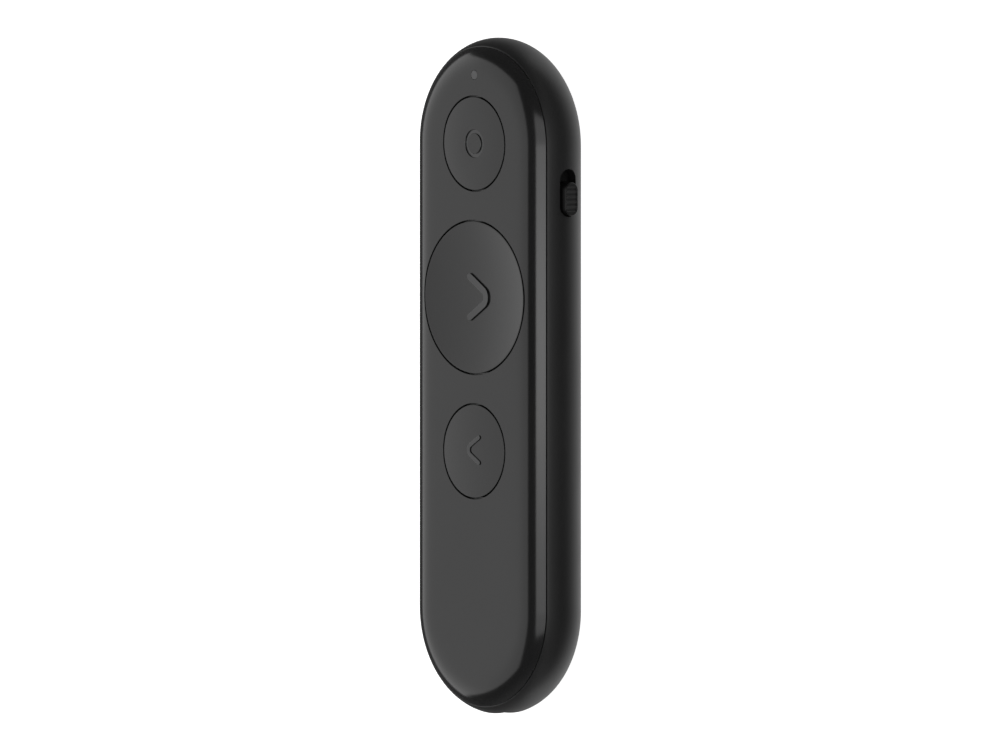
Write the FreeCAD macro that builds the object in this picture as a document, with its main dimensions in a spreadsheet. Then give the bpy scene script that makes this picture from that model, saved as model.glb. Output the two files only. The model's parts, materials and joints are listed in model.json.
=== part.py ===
import FreeCAD, Part
import math
import os
import re

import Sketcher

# Wireless presentation clicker, lying on its flat back.
# Millimetres. +Z is the way the face looks, +Y runs towards the status light, +X towards the power switch.
# The origin is the middle of the flat back.

doc = FreeCAD.newDocument("PresentationClicker")
sheet = doc.addObject("Spreadsheet::Sheet", "Sizes")

# Driving dimensions

SIZES = [
    # Housing
    ("body_length", 112.2, "whole length of the housing"),
    ("body_width", 35.0, "whole width of the housing, without the switch knob"),
    ("body_thickness", 11.4, "back to face"),
    ("parting_drop", 1.88, "face down to the lower edge of the front cover"),
    ("parting_gap", 0.16, "visible gap between the two covers"),
    ("cover_wall", 1.3, "thickness of the front cover under the face"),
    ("shell_wall", 1.5, "wall and floor of the rear cover"),
    ("skirt_clearance", 0.36, "front cover's skirt to the mouth of the rear cover"),
    ("skirt_wall", 0.8, "thickness of the skirt"),
    ("skirt_depth", 1.3, "skirt below the lower edge of the front cover"),
    ("hook_reach", 0.7, "how far a snap hook stands out of the skirt"),
    ("hook_height", 0.6, "height of a snap hook"),
    ("hook_length", 5.0, "length of a snap hook along the housing"),
    ("hook_spread", 56.0, "distance between the hooks on one side"),
    # Buttons
    ("small_button_diameter", 15.42, "pointer and back buttons"),
    ("large_button_diameter", 25.22, "next button"),
    ("button_pitch", 25.57, "centre to centre"),
    ("top_button_offset", 0.19, "pointer button beyond the centre of the end arc"),
    ("button_gap", 0.29, "cap to its opening, all round"),
    ("button_travel", 0.35, "how far a button goes in"),
    ("cap_depth", 2.2, "face down to the underside of a cap"),
    ("cap_roof", 1.2, "thickness of a small cap over its hollow"),
    ("cap_rim", 1.2, "side wall of a small cap"),
    ("cap_boss_radius", 2.4, "solid middle of a small cap"),
    ("flange_width", 0.9, "retaining flange beyond the side of a cap"),
    ("ear_width", 8.0, "width of the next button's two retaining ears"),
    ("pip_radius", 1.2, "pip that presses the switch"),
    ("pip_height", 0.3, "pip below the cap"),
    ("dish_depth", 1.1, "middle of the next button below the face"),
    # Icons
    ("icon_ring_radius", 2.33, "outside of the ring on the pointer button"),
    ("icon_ring_stroke", 0.63, "width of the ring"),
    ("icon_ring_depth", 0.185, "depth of the ring"),
    ("next_icon_half_height", 3.35, "middle of a tip from the button's centre, along the housing"),
    ("next_icon_half_width", 2.03, "tip and apex from the button's centre, across the housing"),
    ("next_icon_stroke", 1.18, "width of the stroke"),
    ("next_icon_bend", 1.36, "radius of the bend along the middle of the stroke"),
    ("next_icon_height", 0.3, "how far it stands up"),
    ("back_icon_half_height", 2.1, "as for the next icon"),
    ("back_icon_half_width", 1.28, "as for the next icon"),
    ("back_icon_stroke", 0.72, "as for the next icon"),
    ("back_icon_bend", 1.0, "as for the next icon"),
    ("back_icon_height", 0.18, "how far it stands up"),
    ("back_icon_offset", 0.22, "middle of the icon beyond the middle of its button"),
    ("icon_root", 0.4, "how far an icon or a pip runs into its cap"),
    # Status light
    ("light_inset", 5.9, "centre of the light from the top end"),
    ("light_radius", 0.75, "light pipe at the face"),
    ("light_gap", 0.05, "light pipe to its hole"),
    ("light_flange_radius", 1.0, "light pipe under the cover"),
    ("light_flange_height", 0.6, "height of that flange"),
    ("light_air", 0.2, "light pipe above the lamp"),
    ("lamp_width", 1.6, "lamp under the light pipe"),
    ("lamp_length", 0.8, "lamp under the light pipe"),
    ("lamp_height", 0.6, "lamp under the light pipe"),
    # Board and switches
    ("board_thickness", 0.8, "circuit board"),
    ("board_clearance", 0.3, "edge of the board inside the line of the skirt"),
    ("tact_case_side", 5.2, "square case of a push switch"),
    ("tact_case_height", 1.1, "height of that case"),
    ("tact_reach", 0.6, "plunger above its case"),
    ("tact_hidden", 0.3, "plunger inside its case"),
    ("tact_radius", 1.4, "radius of the plunger"),
    ("tact_clearance", 0.1, "plunger to its case, round and below"),
    ("frame_air", 0.05, "pressed cap to the button frame"),
    ("frame_clearance", 0.1, "edge of the button frame inside the skirt"),
    ("frame_end_inset", 2.6, "button frame short of the skirt at the light"),
    ("frame_opening_radius", 4.0, "openings over the push switches"),
    ("stake_x", 8.8, "stakes from the middle line"),
    ("stake_radius", 0.65, "stake under the front cover"),
    ("stake_clearance", 0.1, "stake in the frame"),
    ("stake_end", 0.2, "stake beyond the frame"),
    # Screws and posts
    ("screw_x", 8.0, "screws from the middle line"),
    ("screw_end_offset", 7.4, "screws beyond the centres of the end arcs"),
    ("screw_radius", 0.8, "screw shank"),
    ("screw_fit", 0.05, "shank in its post"),
    ("screw_board_clearance", 0.15, "shank in the board"),
    ("screw_head_radius", 1.5, "screw head"),
    ("screw_head_height", 0.7, "screw head"),
    ("screw_head_air", 0.15, "screw head to the button frame"),
    ("screw_length", 4.2, "shank under the head"),
    ("post_radius", 1.9, "posts that carry the board"),
    ("post_bore_extra", 0.4, "bore below the end of the screw"),
    ("rest_post_x", 10.6, "plain posts from the middle line"),
    ("post_clearance", 0.3, "plain post to the slide switch"),
    # Power switch on the right side
    ("slider_offset", 7.7, "middle of the slot before the centre of the end arc"),
    ("slider_travel", 2.0, "off to on"),
    ("knob_length", 5.6, "knob along the housing"),
    ("knob_height", 2.68, "knob across the side"),
    ("knob_proud", 0.83, "knob beyond the side of the housing"),
    ("knob_chamfer", 0.18, "edge of the knob"),
    ("knob_end_clearance", 0.125, "knob to the end of its slot"),
    ("knob_side_clearance", 0.36, "knob to the long side of its slot"),
    ("knob_groove_count", 5, "grip grooves"),
    ("knob_groove_pitch", 0.85, "grip grooves"),
    ("knob_groove_width", 0.6, "grip grooves"),
    ("knob_groove_depth", 0.2, "grip grooves"),
    ("knob_groove_offset", 0.0, "middle groove from the middle of the knob"),
    ("plate_height", 4.0, "plate behind the slot"),
    ("plate_thickness", 0.7, "plate behind the slot"),
    ("plate_overlap", 0.4, "plate past the end of the slot"),
    ("plate_air", 0.7, "plate to the inside of the wall, at the middle"),
    ("lever_width", 1.3, "lever of the slide switch along the housing"),
    ("lever_height", 0.8, "lever of the slide switch"),
    ("lever_fit", 0.05, "lever in the knob"),
    ("lever_engagement", 0.8, "lever into the knob"),
    ("lever_hidden", 1.4, "lever inside the slide switch"),
    ("slide_case_length", 6.7, "slide switch along the housing"),
    ("slide_case_depth", 2.7, "slide switch across the housing"),
    ("slide_case_height", 1.4, "slide switch"),
    ("slide_case_air", 1.6, "slide switch to the plate"),
    # Charging port at the bottom end
    ("port_opening_width", 9.0, "opening in the rear cover"),
    ("port_opening_height", 3.05, "opening in the rear cover"),
    ("port_wall", 1.55, "rear cover in front of the port"),
    ("port_fit", 0.15, "port in its seat"),
    ("port_seat_depth", 5.0, "seat behind that wall"),
    ("port_width", 8.94, "metal shell of the port"),
    ("port_height", 3.16, "metal shell of the port"),
    ("port_length", 7.3, "metal shell of the port"),
    ("port_metal", 0.3, "sheet of the shell"),
    ("port_drop", 0.7, "centre of the port below the board"),
    ("port_back", 1.6, "block that closes the back of the port"),
    ("port_tab_reach", 1.35, "mounting tabs beyond the shell"),
    ("port_tab_length", 2.0, "mounting tabs"),
    ("port_tab_spread", 2.8, "between the two tabs of one side"),
    ("port_board_clearance", 0.13, "shell in the board's notch"),
    ("tongue_width", 6.7, "tongue in the port"),
    ("tongue_thickness", 0.7, "tongue in the port"),
    ("tongue_inset", 1.0, "tongue behind the mouth"),
    ("contact_width", 0.25, "contacts on the tongue"),
    ("contact_pitch", 0.5, "contacts on the tongue"),
    ("contact_length", 3.0, "contacts on the tongue"),
    ("contact_thickness", 0.05, "contacts on the tongue"),
    # Battery
    ("battery_width", 20.0, "pouch cell"),
    ("battery_length", 42.0, "pouch cell"),
    ("battery_round", 0.9, "long edges of the cell"),
    ("battery_end_inset", 16.1, "cell from the bottom end"),
    ("battery_air", 1.0, "cell to the board"),
    ("tape_thickness", 0.3, "tape under the cell"),
    ("tape_margin", 2.0, "cell beyond its tape"),
    ("protection_length", 2.2, "protection board at the end of the cell"),
    ("protection_width", 16.0, "protection board"),
    ("protection_height", 1.0, "protection board"),
    ("lead_radius", 0.35, "battery leads"),
    ("lead_spread", 2.0, "between the two leads"),
    ("lead_straight", 0.6, "straight run at each end of a lead"),
    ("lead_turn", 50.0, "turn of each bend, degrees"),
    ("connector_width", 5.0, "battery connector"),
    ("connector_length", 3.2, "battery connector"),
    ("connector_height", 1.4, "battery connector"),
    # Capacitors
    ("capacitor_x", 5.0, "rows of capacitors from the middle line"),
    ("capacitor_pitch", 2.0, "along a row"),
    ("capacitor_width", 1.0, "one capacitor"),
    ("capacitor_length", 0.5, "one capacitor"),
    ("capacitor_height", 0.5, "one capacitor"),
]

for row, (alias, amount, meaning) in enumerate(SIZES, start=1):
    sheet.set(f"A{row}", meaning)
    sheet.set(f"B{row}", str(amount))
    sheet.setAlias(f"B{row}", alias)

# Sizes that follow from the driving ones

DERIVED = {
    "side_radius": "body_thickness / 2",
    "flat_half_width": "body_width / 2 - body_thickness / 2",
    "half_spine": "(body_length - body_width) / 2",
    "parting_z": "body_thickness - parting_drop",
    "rim_z": "parting_z - parting_gap",
    "parting_radius": "flat_half_width + sqrt(side_radius ^ 2 - (parting_z - side_radius) ^ 2)",
    "rim_radius": "flat_half_width + sqrt(side_radius ^ 2 - (rim_z - side_radius) ^ 2)",
    "inner_radius": "side_radius - shell_wall",
    "mouth_radius": "flat_half_width + sqrt(inner_radius ^ 2 - (rim_z - side_radius) ^ 2)",
    "ceiling_z": "body_thickness - cover_wall",
    "skirt_outer": "mouth_radius - skirt_clearance",
    "skirt_inner": "skirt_outer - skirt_wall",
    "skirt_z": "parting_z - skirt_depth",
    "small_button_radius": "small_button_diameter / 2",
    "large_button_radius": "large_button_diameter / 2",
    "pointer_y": "half_spine + top_button_offset",
    "next_y": "pointer_y - button_pitch",
    "back_y": "next_y - button_pitch",
    "cap_z": "body_thickness - cap_depth",
    "flange_height": "ceiling_z - cap_z",
    "dish_radius": "(large_button_radius ^ 2 + dish_depth ^ 2) / (2 * dish_depth)",
    "board_top": "cap_z - pip_height - tact_reach - tact_case_height",
    "board_z": "board_top - board_thickness",
    "board_half_width": "skirt_inner - board_clearance",
    "light_y": "body_length / 2 - light_inset",
    "frame_top": "cap_z - button_travel - frame_air",
    "frame_z": "board_top + screw_head_height + screw_head_air",
    "frame_half_width": "skirt_inner - frame_clearance",
    "screw_y": "half_spine + screw_end_offset",
    "slot_z": "board_z - slide_case_height / 2",
    "slot_y": "half_spine - slider_offset",
    "slot_length": "knob_length + slider_travel + 2 * knob_end_clearance",
    "slot_height": "knob_height + 2 * knob_side_clearance",
    "knob_y": "slot_y - slider_travel / 2",
    "knob_face": "body_width / 2 + knob_proud",
    "plate_front": "body_width / 2 - shell_wall - plate_air",
    "plate_back": "plate_front - plate_thickness",
    "plate_length": "knob_length + 2 * (slider_travel + knob_end_clearance + plate_overlap)",
    "slide_case_front": "plate_back - slide_case_air",
    "port_z": "board_z - port_drop",
    "port_front": "-body_length / 2 + port_wall",
    "port_rear": "port_front + port_length",
    "battery_low_y": "-body_length / 2 + battery_end_inset",
    "battery_high_y": "battery_low_y + battery_length",
    "battery_low_z": "shell_wall + tape_thickness",
    "battery_high_z": "board_z - battery_air",
    "protection_z": "battery_high_z - protection_height",
    "lead_low_z": "protection_z + protection_height / 2",
    "lead_high_z": "board_z - connector_height / 2",
    "lead_bend": "(lead_high_z - lead_low_z) / (2 * (1 - cos(lead_turn * 1deg)))",
    "lead_start_y": "battery_high_y + protection_length",
    "connector_y": "lead_start_y + 2 * lead_straight + 2 * lead_bend * sin(lead_turn * 1deg)",
    "rest_post_limit": "slot_y - slide_case_length / 2 - post_radius - post_clearance",
    "rest_post_y": "min(connector_y + connector_length / 2; rest_post_limit)",
}

CELLS = {alias for alias, amount, meaning in SIZES}
SUBPARTS = {}


def expand(expression):
    """Write an expression of size names as one of sheet cells."""

    def cell_or_formula(match):
        word = match.group(0)
        if word in DERIVED:
            return "(" + expand(DERIVED[word]) + ")"
        if word in CELLS:
            return "Sizes." + word
        return word

    return re.sub(r"[a-z][a-z_]+", cell_or_formula, str(expression))


def amount_of(expression):
    """The number that an expression of size names comes to."""
    return float(sheet.evalExpression(expand(expression)))


def bind(thing, **expressions):
    """Tie properties of an object to expressions; a double underscore stands for a dot."""
    for name, expression in expressions.items():
        thing.setExpression(name.replace("__", "."), expand(expression))


def place(thing, x="0", y="0", z="0"):
    bind(thing, Placement__Base__x=x, Placement__Base__y=y, Placement__Base__z=z)


def subpart(thing, label):
    thing.Label = label
    SUBPARTS[label] = thing
    return thing


# Sketches

def pin_point(sketch, geometry, position, x, y, name):
    """Fix a sketch point at the expressions x and y; None leaves that direction free."""
    for axis, expression, line in (("X", x, -2), ("Y", y, -1)):
        if expression is None:
            continue
        distance = amount_of(expression)
        if abs(distance) < 1e-9:
            sketch.addConstraint(Sketcher.Constraint("PointOnObject", geometry, position, line))
            continue
        kind = "Distance" + axis
        index = sketch.addConstraint(Sketcher.Constraint(kind, -1, 1, geometry, position, distance))
        sketch.renameConstraint(index, f"{name}_{axis.lower()}")
        sketch.setExpression(f"Constraints.{name}_{axis.lower()}", expand(expression))


def closed_line(sketch, points, arcs=None, name="p"):
    """Draw a closed outline.

    points holds (x, y) expressions. arcs maps the number of a point to (centre x, centre y, turn) for an
    arc that runs from that point to the next, where turn is 1 anticlockwise and -1 clockwise.
    """
    arcs = arcs or {}
    places = [FreeCAD.Vector(amount_of(x), amount_of(y), 0) for x, y in points]
    count = len(points)
    segments = []
    for i in range(count):
        start, end = places[i], places[(i + 1) % count]
        if i not in arcs:
            segments.append(sketch.addGeometry(Part.LineSegment(start, end), False))
            continue
        centre_x, centre_y, turn = arcs[i]
        centre = FreeCAD.Vector(amount_of(centre_x), amount_of(centre_y), 0)
        first, last = (start, end) if turn > 0 else (end, start)
        low = math.atan2(first.y - centre.y, first.x - centre.x)
        high = math.atan2(last.y - centre.y, last.x - centre.x)
        if high <= low:
            high += 2 * math.pi
        circle = Part.Circle(centre, FreeCAD.Vector(0, 0, 1), (start - centre).Length)
        segments.append(sketch.addGeometry(Part.ArcOfCircle(circle, low, high), False))

    def ends(i):
        backwards = i in arcs and arcs[i][2] < 0
        return (2, 1) if backwards else (1, 2)

    for i in range(count):
        before = (i - 1) % count
        joint = ("Coincident", segments[before], ends(before)[1], segments[i], ends(i)[0])
        sketch.addConstraint(Sketcher.Constraint(*joint))
    for i in range(count):
        x, y = points[i]
        before = (i - 1) % count
        if before in arcs:
            # The arc before this point leaves it one direction to be fixed in.
            centre = (amount_of(arcs[before][0]), amount_of(arcs[before][1]))
            across = abs(places[i].x - centre[0]) > abs(places[i].y - centre[1])
            x, y = (None, y) if across else (x, None)
        pin_point(sketch, segments[i], ends(i)[0], x, y, f"{name}{i}")
    for i, (centre_x, centre_y, turn) in arcs.items():
        pin_point(sketch, segments[i], 3, centre_x, centre_y, f"{name}{i}_centre")


def rectangle(sketch, x_low, x_high, y_low, y_high, name="p"):
    corners = [(x_low, y_low), (x_high, y_low), (x_high, y_high), (x_low, y_high)]
    closed_line(sketch, corners, name=name)


def round_hole(sketch, x, y, radius, name="hole"):
    centre = FreeCAD.Vector(amount_of(x), amount_of(y), 0)
    circle = Part.Circle(centre, FreeCAD.Vector(0, 0, 1), amount_of(radius))
    geometry = sketch.addGeometry(circle, False)
    index = sketch.addConstraint(Sketcher.Constraint("Radius", geometry, amount_of(radius)))
    sketch.renameConstraint(index, f"{name}_radius")
    sketch.setExpression(f"Constraints.{name}_radius", expand(radius))
    pin_point(sketch, geometry, 3, x, y, name)


def stadium(sketch, half_width, low_centre, high_centre, name="p"):
    """Two half circles joined by straight sides that run along the sketch's second direction."""
    points = [
        (half_width, low_centre),
        (half_width, high_centre),
        (f"-({half_width})", high_centre),
        (f"-({half_width})", low_centre),
    ]
    arcs = {1: ("0", high_centre, 1), 3: ("0", low_centre, 1)}
    closed_line(sketch, points, arcs, name)


def lying_stadium(sketch, half_height, half_length, x, y, name="p"):
    """Two half circles joined by straight sides that run along the sketch's first direction."""
    low = f"({x}) - ({half_length}) + ({half_height})"
    high = f"({x}) + ({half_length}) - ({half_height})"
    top = f"({y}) + ({half_height})"
    bottom = f"({y}) - ({half_height})"
    points = [(low, bottom), (high, bottom), (high, top), (low, top)]
    arcs = {1: (high, y, 1), 3: (low, y, 1)}
    closed_line(sketch, points, arcs, name)


def new_body(label):
    return subpart(doc.addObject("PartDesign::Body", label), label)


def new_sketch(body, name, role, offset="0"):
    """A sketch on one of the body's own origin planes, moved along that plane's normal."""
    sketch = body.newObject("Sketcher::SketchObject", name)
    sketch.AttachmentSupport = [(origin_plane(body, role), "")]
    sketch.MapMode = "FlatFace"
    bind(sketch, AttachmentOffset__Base__z=offset)
    return sketch


def origin_plane(body, role):
    return next(feature for feature in body.Origin.OriginFeatures if feature.Role == role)


def volume_of(body):
    return body.Tip.Shape.Volume if body.Tip else 0.0


def extrude(body, kind, sketch, length, reverse=False, symmetric=False):
    """Pad or pocket a sketch, and make sure that it changed the solid."""
    before = volume_of(body)
    feature = body.newObject("PartDesign::" + kind, sketch.Name + "_" + kind.lower())
    feature.Profile = sketch
    feature.Reversed = reverse
    if symmetric:
        feature.SideType = "Symmetric"
    bind(feature, Length=length)
    doc.recompute()
    change = volume_of(body) - before
    if (kind == "Pad" and change <= 0) or (kind == "Pocket" and change >= 0):
        raise ValueError(f"{feature.Name} changed the volume by {change:.4f}")
    return feature


def pad(body, sketch, length, **options):
    return extrude(body, "Pad", sketch, length, **options)


def pocket(body, sketch, length, **options):
    return extrude(body, "Pocket", sketch, length, **options)


def mirrored(body, feature, role):
    mirror = body.newObject("PartDesign::Mirrored", feature.Name + "_mirror")
    mirror.Originals = [feature]
    mirror.MirrorPlane = (origin_plane(body, role), [""])
    body.Tip = mirror
    doc.recompute()
    return mirror


# Primitives

def block(name, x, y, z, width, length, height):
    """A box centred on x and y that stands on z."""
    box = doc.addObject("Part::Box", name)
    bind(box, Length=width, Width=length, Height=height)
    place(box, f"({x}) - ({width}) / 2", f"({y}) - ({length}) / 2", z)
    return box


def rod(name, x, y, z, radius, height):
    """An upright cylinder that stands on z."""
    cylinder = doc.addObject("Part::Cylinder", name)
    bind(cylinder, Radius=radius, Height=height)
    place(cylinder, x, y, z)
    return cylinder


def cut(name, base, tool):
    result = doc.addObject("Part::Cut", name)
    result.Base = base
    result.Tool = tool
    return result


def fuse(name, pieces):
    result = doc.addObject("Part::MultiFuse", name)
    result.Shapes = pieces
    result.Refine = True
    return result


def common(name, base, tool):
    result = doc.addObject("Part::Common", name)
    result.Base = base
    result.Tool = tool
    return result


def group(name, pieces):
    result = doc.addObject("Part::Compound", name)
    result.Links = pieces
    return result


# Housing

def sweep_section(body, draw_section):
    """Carry a half section round the stadium: straight along both sides, and half a turn at each end."""
    end = new_sketch(body, body.Name + "_end_section", "XZ_Plane", "-half_spine")
    draw_section(end)
    cap = body.newObject("PartDesign::Revolution", body.Name + "_end")
    cap.Profile = end
    cap.ReferenceAxis = (end, ["V_Axis"])
    cap.Angle = 180
    doc.recompute()
    if cap.Shape.BoundBox.YMax < amount_of("half_spine") + 1:
        cap.Reversed = True
        doc.recompute()
    mirrored(body, cap, "XZ_Plane")
    side = new_sketch(body, body.Name + "_side_section", "XZ_Plane")
    draw_section(side)
    run = pad(body, side, "2 * half_spine", symmetric=True)
    mirrored(body, run, "YZ_Plane")


def front_cover_section(sketch):
    points = [
        ("0", "body_thickness"),
        ("0", "ceiling_z"),
        ("skirt_inner", "ceiling_z"),
        ("skirt_inner", "skirt_z"),
        ("skirt_outer", "skirt_z"),
        ("skirt_outer", "parting_z"),
        ("parting_radius", "parting_z"),
        ("flat_half_width", "body_thickness"),
    ]
    closed_line(sketch, points, {6: ("flat_half_width", "side_radius", 1)})


def rear_cover_section(sketch):
    points = [
        ("0", "0"),
        ("flat_half_width", "0"),
        ("rim_radius", "rim_z"),
        ("mouth_radius", "rim_z"),
        ("flat_half_width", "shell_wall"),
        ("0", "shell_wall"),
    ]
    arcs = {
        1: ("flat_half_width", "side_radius", 1),
        3: ("flat_half_width", "side_radius", -1),
    }
    closed_line(sketch, points, arcs)


def make_front_cover():
    body = new_body("front_cover")
    sweep_section(body, front_cover_section)

    openings = new_sketch(body, "button_openings", "XY_Plane", "body_thickness")
    round_hole(openings, "0", "pointer_y", "small_button_radius + button_gap", "pointer")
    round_hole(openings, "0", "next_y", "large_button_radius + button_gap", "next")
    round_hole(openings, "0", "back_y", "small_button_radius + button_gap", "back")
    round_hole(openings, "0", "light_y", "light_radius + light_gap", "light")
    pocket(body, openings, "body_thickness")

    stakes = new_sketch(body, "stakes", "XY_Plane", "frame_z - stake_end")
    for number, line in enumerate(("pointer_y", "next_y", "back_y")):
        for side, sign in (("left", "-"), ("right", "")):
            y = f"{line} - button_pitch / 2"
            round_hole(stakes, f"{sign}stake_x", y, "stake_radius", f"stake_{side}{number}")
    pad(body, stakes, "ceiling_z - frame_z + stake_end + cover_wall / 2")

    hooks = new_sketch(body, "hooks", "XY_Plane", "skirt_z")
    for number, sign in enumerate(("-", "")):
        low = f"{sign}hook_spread / 2 - hook_length / 2"
        high = f"{sign}hook_spread / 2 + hook_length / 2"
        inside = "skirt_outer - skirt_wall / 2"
        outside = "skirt_outer + hook_reach"
        rectangle(hooks, inside, outside, low, high, f"right{number}")
        rectangle(hooks, f"-({outside})", f"-({inside})", low, high, f"left{number}")
    pad(body, hooks, "hook_height")


def make_rear_cover():
    body = new_body("rear_cover")
    sweep_section(body, rear_cover_section)

    posts = new_sketch(body, "posts", "XY_Plane", "shell_wall / 2")
    bores = new_sketch(body, "bores", "XY_Plane", "board_z")
    for end, end_sign in (("bottom", "-"), ("top", "")):
        for side, sign in (("left", "-"), ("right", "")):
            x, y = f"{sign}screw_x", f"{end_sign}(screw_y)"
            round_hole(posts, x, y, "post_radius", f"{end}_{side}")
            round_hole(bores, x, y, "screw_radius + screw_fit", f"{end}_{side}")
    for side, sign in (("left", "-"), ("right", "")):
        round_hole(posts, f"{sign}rest_post_x", "rest_post_y", "post_radius", f"rest_{side}")
    pad(body, posts, "board_z - shell_wall / 2")
    pocket(body, bores, "screw_length - board_thickness + post_bore_extra")

    slot = new_sketch(body, "switch_slot", "YZ_Plane", "body_width / 2 + 1")
    lying_stadium(slot, "slot_height / 2", "slot_length / 2", "slot_y", "slot_z")
    pocket(body, slot, "shell_wall + 2")

    seat = new_sketch(body, "port_seat", "XZ_Plane", "-(port_front)")
    half_seat = "port_width / 2 + port_fit"
    rectangle(
        seat, f"-({half_seat})", half_seat,
        "port_z - port_height / 2 - port_fit", "port_z + port_height / 2 + port_fit",
    )
    pocket(body, seat, "port_seat_depth")

    opening = new_sketch(body, "port_opening", "XZ_Plane", "body_length / 2 + 1")
    lying_stadium(opening, "port_opening_height / 2", "port_opening_width / 2", "0", "port_z")
    pocket(body, opening, "port_wall + 2")


# Icons

def chevron(sketch, half_height, half_width, stroke, bend, pointing):
    """Outline of a round-ended, round-bent chevron. pointing is 1 towards +X and -1 towards -X."""
    # The bend touches both arms. The arm's angle from the X direction follows from the four sizes.
    height = amount_of(half_height)
    reach = 2 * amount_of(half_width)
    radius = amount_of(bend)
    from_centre = math.hypot(reach - radius, height)
    angle = math.atan2(height, reach - radius) - math.asin(radius / from_centre)
    half = amount_of(stroke) / 2
    tip_x = -reach / 2
    bend_x = reach / 2 - radius
    across = FreeCAD.Vector(math.sin(angle), math.cos(angle), 0)

    def spot(x, y):
        return (f"{pointing * x:.6f}", f"{y:.6f}")

    outer, inner = radius + half, radius - half
    points = [
        spot(tip_x + half * across.x, height + half * across.y),
        spot(tip_x - half * across.x, height - half * across.y),
        spot(bend_x + inner * across.x, inner * across.y),
        spot(bend_x + inner * across.x, -inner * across.y),
        spot(tip_x - half * across.x, -height + half * across.y),
        spot(tip_x + half * across.x, -height - half * across.y),
        spot(bend_x + outer * across.x, -outer * across.y),
        spot(bend_x + outer * across.x, outer * across.y),
    ]
    arcs = {
        0: (*spot(tip_x, height), pointing),
        2: (*spot(bend_x, 0), -pointing),
        4: (*spot(tip_x, -height), pointing),
        6: (*spot(bend_x, 0), pointing),
    }
    closed_line(sketch, points, arcs)


def icon_prism(name, half_height, half_width, stroke, bend, pointing, height):
    """A chevron that stands on the sketch plane, to be placed under a cap's top."""
    sketch = doc.addObject("Sketcher::SketchObject", name + "_outline")
    chevron(sketch, half_height, half_width, stroke, bend, pointing)
    prism = doc.addObject("Part::Extrusion", name)
    prism.Base = sketch
    prism.DirMode = "Custom"
    prism.Dir = FreeCAD.Vector(0, 0, 1)
    prism.Solid = True
    bind(prism, LengthFwd=height)
    return prism


# Buttons

def small_cap(name, y):
    """A flat round cap: disc, retaining flange, hollow underside with a solid middle, and pip."""
    disc = rod(name + "_disc", "0", y, "cap_z", "small_button_radius", "cap_depth")
    rim = rod(name + "_flange", "0", y, "cap_z", "small_button_radius + flange_width", "flange_height")
    hollow = rod(name + "_hollow", "0", y, "cap_z - 1", "small_button_radius - cap_rim",
                 "cap_depth - cap_roof + 1")
    middle = rod(name + "_middle", "0", y, "cap_z", "cap_boss_radius", "cap_depth - cap_roof / 2")
    pip = rod(name + "_pip", "0", y, "cap_z - pip_height", "pip_radius", "pip_height + cap_depth / 2")
    shell = cut(name + "_shell", fuse(name + "_blank", [disc, rim]), hollow)
    return [shell, middle, pip]


def make_pointer_button():
    pieces = fuse("pointer_solid", small_cap("pointer", "pointer_y"))
    floor = "body_thickness - icon_ring_depth"
    disc = rod("ring_disc", "0", "pointer_y", floor, "icon_ring_radius", "icon_ring_depth + 1")
    core = rod("ring_core", "0", "pointer_y", floor, "icon_ring_radius - icon_ring_stroke",
               "icon_ring_depth + 1")
    subpart(cut("pointer_button", pieces, cut("ring_groove", disc, core)), "pointer_button")


def make_back_button():
    pieces = small_cap("back", "back_y")
    icon = icon_prism("back_icon", "back_icon_half_height", "back_icon_half_width",
                      "back_icon_stroke", "back_icon_bend", -1, "icon_root + back_icon_height")
    place(icon, "0", "back_y + back_icon_offset", "body_thickness - icon_root")
    subpart(fuse("back_button", [*pieces, icon]), "back_button")


def make_next_button():
    """The large cap is dished like the inside of a ball, and its icon's top follows the dish."""
    disc = rod("next_disc", "0", "next_y", "cap_z", "large_button_radius", "cap_depth")
    ball = doc.addObject("Part::Sphere", "dish")
    bind(ball, Radius="dish_radius")
    place(ball, "0", "next_y", "body_thickness - dish_depth + dish_radius")
    ears = block("next_ears", "0", "next_y", "cap_z", "ear_width",
                 "2 * (large_button_radius + flange_width)", "flange_height")
    pip = rod("next_pip", "0", "next_y", "cap_z - pip_height", "pip_radius", "pip_height + icon_root")
    raised_ball = doc.addObject("Part::Sphere", "raised_dish")
    bind(raised_ball, Radius="dish_radius")
    place(raised_ball, "0", "next_y", "body_thickness - dish_depth + dish_radius + next_icon_height")
    icon = icon_prism("next_icon", "next_icon_half_height", "next_icon_half_width",
                      "next_icon_stroke", "next_icon_bend", 1, "dish_depth + 1")
    place(icon, "0", "next_y", "body_thickness - dish_depth - icon_root")
    pieces = [cut("next_dished", disc, ball), ears, pip, cut("next_icon_dished", icon, raised_ball)]
    subpart(fuse("next_button", pieces), "next_button")


def make_push_switch(name, y):
    """A square low push switch and its plunger, which moves with the cap above it."""
    case = block(name + "_case_block", "0", y, "board_top", "tact_case_side", "tact_case_side",
                 "tact_case_height")
    depth = "tact_hidden + button_travel + tact_clearance"
    well = rod(name + "_well", "0", y, f"board_top + tact_case_height - ({depth})",
               "tact_radius + tact_clearance", f"{depth} + 1")
    subpart(cut(name + "_switch_case", case, well), name + "_switch_case")
    plunger = rod(name + "_switch_plunger", "0", y, "board_top + tact_case_height - tact_hidden",
                  "tact_radius", "tact_hidden + tact_reach")
    subpart(plunger, name + "_switch_plunger")


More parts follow.
